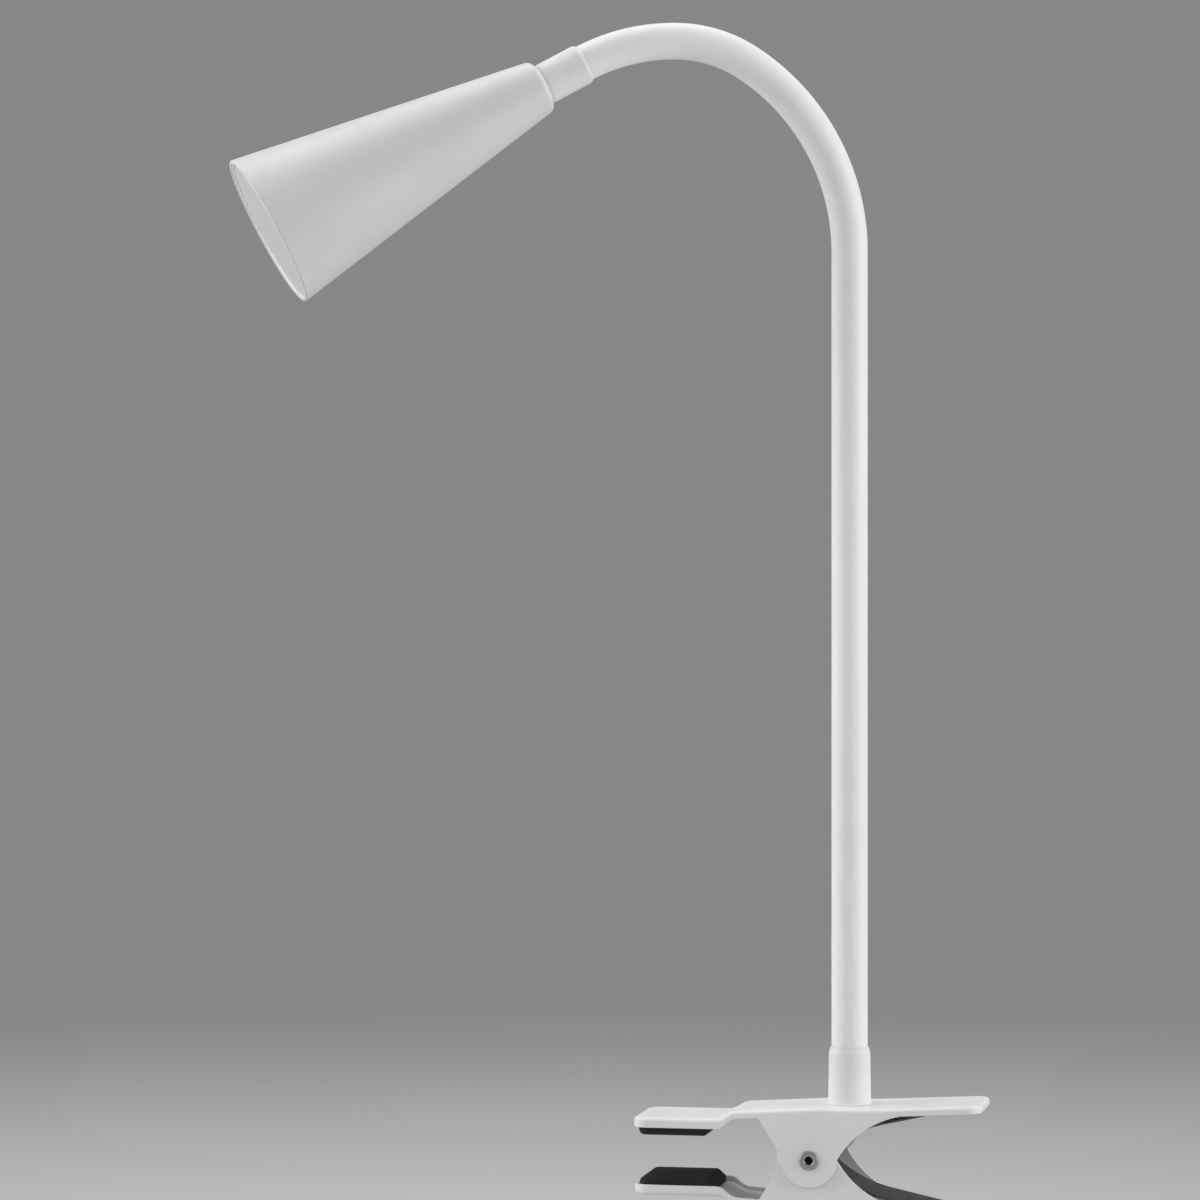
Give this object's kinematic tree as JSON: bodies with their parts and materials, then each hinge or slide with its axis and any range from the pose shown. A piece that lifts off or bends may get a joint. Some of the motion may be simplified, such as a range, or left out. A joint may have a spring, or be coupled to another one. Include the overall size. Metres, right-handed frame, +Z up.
{
  "type": "gooseneck clamp lamp",
  "caption": "Clamp lamp with a conical shade on a bendable gooseneck that stands on a sprung lever clamp with rubber jaw pads.",
  "frame": {"origin": "centre of the upper jaw pad's gripping face, where the clamp sits on a board", "axes": "+Z up along the upright gooseneck, -X along the jaws into the board, Y along the clamp's pivot"},
  "size_m": [0.2808, 0.1285, 0.4586],
  "materials": {
    "white_paint": "satin powder coat",
    "shade_paint": "satin powder coat",
    "pad_rubber": "matt black rubber",
    "rivet_steel": "plain",
    "spring_steel": "blued spring steel",
    "nylon": "natural nylon",
    "zinc_steel": "zinc plated",
    "black_nylon": "black nylon",
    "white_sleeve": "smooth silicone",
    "core_steel": "wound steel",
    "lead_pvc": "white flexible sheath",
    "sink_aluminium": "plain",
    "board_white": "white solder mask",
    "phosphor": "yellow phosphor",
    "reflector_white": "white",
    "diffuser_acrylic": "opal",
    "ring_white": "white",
    "board_green": "green solder mask",
    "driver_black": "moulded",
    "wire_red": "insulated"
  },
  "bodies": {
    "clamp_upper": {"upper_lever": "white_paint", "upper_pad": "pad_rubber", "pivot_rivet": "rivet_steel", "pivot_barrel": "nylon", "clamp_spring": "spring_steel", "base_collar": "white_paint", "base_stud": "zinc_steel", "base_washer": "zinc_steel", "base_nut": "zinc_steel", "inlet_bush": "black_nylon", "sleeve_base": "white_sleeve", "core_base": "core_steel", "lead_base": "lead_pvc"},
    "clamp_lower": {"lower_lever": "white_paint", "lower_pad": "pad_rubber"},
    "neck_1": {"sleeve_1": "white_sleeve", "core_1": "core_steel", "lead_1": "lead_pvc"},
    "neck_2": {"sleeve_2": "white_sleeve", "core_2": "core_steel", "lead_2": "lead_pvc"},
    "neck_3": {"sleeve_3": "white_sleeve", "core_3": "core_steel", "lead_3": "lead_pvc"},
    "neck_4": {"sleeve_4": "white_sleeve", "core_4": "core_steel", "lead_4": "lead_pvc"},
    "neck_5": {"sleeve_5": "white_sleeve", "core_5": "core_steel", "lead_5": "lead_pvc"},
    "neck_6": {"sleeve_6": "white_sleeve", "core_6": "core_steel", "lead_6": "lead_pvc"},
    "neck_7": {"sleeve_7": "white_sleeve", "core_7": "core_steel", "lead_7": "lead_pvc"},
    "neck_8": {"sleeve_8": "white_sleeve", "core_8": "core_steel", "lead_8": "lead_pvc"},
    "head": {"sleeve_head": "white_sleeve", "core_head": "core_steel", "lead_head": "lead_pvc", "head_collar": "white_paint", "head_nipple": "zinc_steel", "head_washer": "zinc_steel", "head_nut": "zinc_steel", "shade": "shade_paint", "heat_sink": "sink_aluminium", "led_board": "board_white", "leds": "phosphor", "board_screws": "zinc_steel", "reflector": "reflector_white", "diffuser": "diffuser_acrylic", "lens_ring": "ring_white", "driver_board": "board_green", "driver_parts": "driver_black", "inner_wires": "wire_red"}
  },
  "joints": [
    {"name": "jaw_hinge", "type": "hinge", "parent": "clamp_upper", "child": "clamp_lower", "pos_m": [0.05245, 0, -0.00825], "axis": [0, 1, 0], "range_deg": [-25, 13], "stiffness_Nm_per_rad": 1.6, "springref_deg": 51.57, "deforming": ["clamp_spring"]},
    {"name": "bend_1", "type": "hinge", "parent": "clamp_upper", "child": "neck_1", "pos_m": [0.06565, 0, 0.0638], "axis": [0.3551, -0.9348, 0], "range_deg": [-32, 32]},
    {"name": "sway_2", "type": "hinge", "parent": "neck_1", "child": "neck_2", "pos_m": [0.06565, 0, 0.11926], "axis": [-0.9348, -0.3551, 0], "range_deg": [-32, 32]},
    {"name": "bend_3", "type": "hinge", "parent": "neck_2", "child": "neck_3", "pos_m": [0.06565, 0, 0.17472], "axis": [0.3551, -0.9348, 0], "range_deg": [-32, 32]},
    {"name": "sway_4", "type": "hinge", "parent": "neck_3", "child": "neck_4", "pos_m": [0.06565, 0, 0.23018], "axis": [-0.9348, -0.3551, 0], "range_deg": [-32, 32]},
    {"name": "bend_5", "type": "hinge", "parent": "neck_4", "child": "neck_5", "pos_m": [0.06565, 0, 0.28564], "axis": [0.3551, -0.9348, 0], "range_deg": [-32, 32]},
    {"name": "sway_6", "type": "hinge", "parent": "neck_5", "child": "neck_6", "pos_m": [0.06565, 0, 0.3411], "axis": [-0.9348, -0.3551, 0], "range_deg": [-32, 32]},
    {"name": "bend_7", "type": "hinge", "parent": "neck_6", "child": "neck_7", "pos_m": [0.05569, -0.00378, 0.38231], "axis": [0.3551, -0.9348, 0], "range_deg": [-32, 15]},
    {"name": "sway_8", "type": "hinge", "parent": "neck_7", "child": "neck_8", "pos_m": [0.0283, -0.01419, 0.41318], "axis": [-0.4954, -0.1882, -0.848], "range_deg": [-32, 32]},
    {"name": "bend_9", "type": "hinge", "parent": "neck_8", "child": "head", "pos_m": [0.00254, -0.02397, 0.42109], "axis": [0.3551, -0.9348, 0], "range_deg": [-32, 10]}
  ]
}
